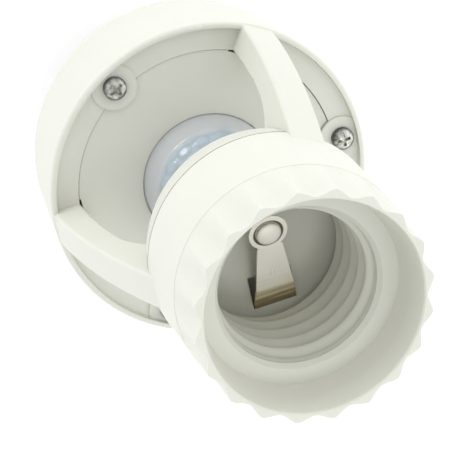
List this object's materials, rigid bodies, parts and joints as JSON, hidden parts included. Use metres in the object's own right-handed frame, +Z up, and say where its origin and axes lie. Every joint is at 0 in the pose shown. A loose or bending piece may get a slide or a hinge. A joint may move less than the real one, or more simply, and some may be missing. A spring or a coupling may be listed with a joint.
{
  "type": "motion sensor lamp holder adapter",
  "caption": "Screw-in lamp holder adapter: round dish with a domed motion sensor lens, curved arms and a scalloped lamp socket held in front of it.",
  "frame": {"origin": "on the common axis at the tip of the screw cap's centre contact, the lowest point", "axes": "+Z up the common axis from the cap to the mouth of the lamp socket; +Y towards one of the arms, the one that carries the leads"},
  "size_m": [0.0596, 0.0596, 0.1142],
  "materials": {
    "ivory_plastic": "semi-gloss moulded plastic",
    "lens_plastic": "translucent milky plastic with small facets",
    "screw_steel": "bright plated steel",
    "contact_nickel": "satin nickel plate",
    "cap_nickel": "nickel plated brass",
    "cap_insulation": "black insulation",
    "board_laminate": "green laminate",
    "sensor_can": "plain metal can",
    "dark_plastic": "dark plastic",
    "photocell": "clear coated cell",
    "relay_plastic": "blue plastic case",
    "capacitor_sleeve": "dark sleeve",
    "film_plastic": "yellow plastic case",
    "resistor_coat": "lacquer",
    "fuse_coat": "grey green coat",
    "live_cover": "red insulation",
    "neutral_cover": "black insulation"
  },
  "bodies": {
    "housing": {"front_frame": "ivory_plastic", "barrel_cover": "ivory_plastic", "sensor_plate": "ivory_plastic", "rear_housing": "ivory_plastic", "fresnel_lens": "lens_plastic", "housing_screws": "screw_steel", "cap_shell": "cap_nickel", "cap_insulator": "cap_insulation", "cap_contact": "contact_nickel", "circuit_board": "board_laminate", "pir_sensor": "sensor_can", "pir_window": "dark_plastic", "light_sensor": "photocell", "control_chip": "dark_plastic", "switching_relay": "relay_plastic", "supply_capacitor": "capacitor_sleeve", "dropper_capacitor": "film_plastic", "rectifier_diodes": "dark_plastic", "board_resistors": "resistor_coat", "fuse_resistor": "fuse_coat", "live_lead_in": "live_cover", "live_lead_out": "live_cover", "neutral_lead_in": "neutral_cover", "neutral_lead_out": "neutral_cover"},
    "centre_contact_arm": {"centre_contact": "contact_nickel", "contact_rivet": "contact_nickel"},
    "side_contact_arm": {"side_contact": "contact_nickel"}
  },
  "joints": [
    {"name": "centre_contact_press", "type": "hinge", "parent": "housing", "child": "centre_contact_arm", "pos_m": [-0.0112, 0, 0.0849], "axis": [0, 1, 0], "range_deg": [0, 12], "stiffness_Nm_per_rad": 0.5},
    {"name": "side_contact_press", "type": "hinge", "parent": "housing", "child": "side_contact_arm", "pos_m": [0.0142, 0, 0.085], "axis": [0, 1, 0], "range_deg": [0, 2], "stiffness_Nm_per_rad": 1}
  ]
}
